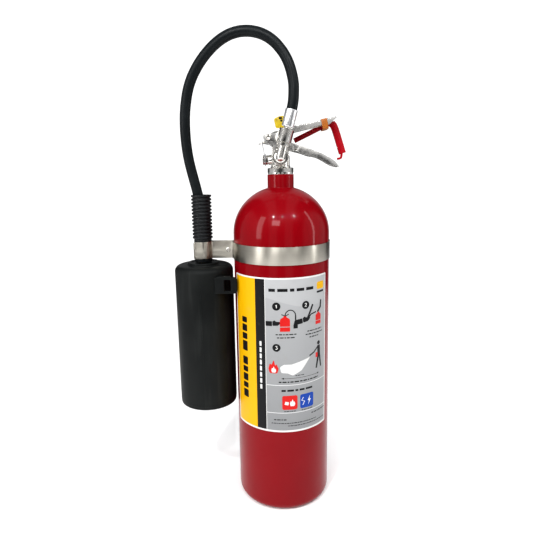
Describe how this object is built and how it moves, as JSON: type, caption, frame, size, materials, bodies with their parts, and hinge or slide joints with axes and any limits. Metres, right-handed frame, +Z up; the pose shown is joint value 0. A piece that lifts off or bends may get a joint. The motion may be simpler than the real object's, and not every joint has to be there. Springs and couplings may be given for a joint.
{
  "type": "portable carbon dioxide fire extinguisher",
  "caption": "Hand-portable carbon dioxide extinguisher: red cylinder, squeeze-grip valve with pin, rubber hose, and a black horn clipped to a steel band beside it.",
  "frame": {"origin": "centre of the cylinder's flat base, on the surface that it stands on", "axes": "+Z up along the cylinder's axis, the label faces -Y, the horn hangs on the -X side and the grips point to +X"},
  "size_m": [0.2761, 0.1546, 0.7501],
  "materials": {
    "red_paint": "gloss",
    "hook_paint": "satin",
    "printed_label": "satin",
    "stainless_strip": "satin",
    "nickel_plate": "gloss",
    "handle_sheet": "satin",
    "aluminium": "satin",
    "brass": "satin",
    "spring_steel": "satin",
    "black_moulding": "matte",
    "grip_rubber": "matte",
    "hose_rubber": "satin",
    "seal_rubber": "matte",
    "yellow_plastic": "satin",
    "orange_plastic": "satin"
  },
  "bodies": {
    "cylinder": {"cylinder_shell": "red_paint", "label_sheet": "printed_label", "horn_band": "stainless_strip", "clip_rivet": "nickel_plate", "neck_seal": "seal_rubber", "valve_body": "nickel_plate", "dip_tube": "aluminium", "valve_seat": "brass", "stem_o_ring": "seal_rubber", "stem_spring": "spring_steel", "elbow_washer": "seal_rubber", "outlet_elbow": "nickel_plate", "swivel_nut": "nickel_plate", "hose_tail": "nickel_plate", "hose_ferrule": "aluminium", "discharge_hose": "hose_rubber", "burst_disc": "brass", "relief_plug": "nickel_plate", "lanyard_link": "spring_steel", "lanyard_wire": "spring_steel", "carry_handle": "handle_sheet", "handle_roll_pin": "spring_steel", "pivot_rivet": "nickel_plate"},
    "lever": {"squeeze_lever": "handle_sheet", "wall_hook": "hook_paint", "hook_tie": "orange_plastic"},
    "stem": {"valve_stem": "spring_steel"},
    "safety_pin": {"safety_pin": "spring_steel", "tamper_seal": "yellow_plastic"},
    "pull_ring": {"pull_ring": "spring_steel"},
    "horn": {"horn": "black_moulding", "horn_strap_loop": "black_moulding", "horn_grip": "grip_rubber", "horn_pipe": "brass", "pipe_ferrule": "nickel_plate", "horn_lock_nut": "nickel_plate", "discharge_nozzle": "brass"}
  },
  "joints": [
    {"name": "lever_squeeze", "type": "hinge", "parent": "cylinder", "child": "lever", "pos_m": [-0.018, 0, 0.59369], "axis": [0, 1, 0], "range_deg": [0, 12], "stiffness_Nm_per_rad": 4, "springref_deg": -5.73},
    {"name": "stem_press", "type": "slide", "parent": "cylinder", "child": "stem", "axis": [0, 0, -1], "range_m": [0, 0.0041], "deforming": ["stem_spring"]},
    {"name": "pin_pull", "type": "slide", "parent": "cylinder", "child": "safety_pin", "axis": [0, 1, 0], "range_m": [0, 0.045]},
    {"name": "ring_swing", "type": "hinge", "parent": "safety_pin", "child": "pull_ring", "pos_m": [0.007, 0.0196, 0.59249], "axis": [1, 0, 0], "range_deg": [0, 95]},
    {"name": "horn_release", "type": "slide", "parent": "cylinder", "child": "horn", "axis": [-1, 0, 0], "range_m": [0, 0.07], "deforming": ["discharge_hose"]}
  ],
  "couplings": [
    {"joint": "stem_press", "follows": "lever_squeeze", "m_per_rad": 0.01867}
  ]
}
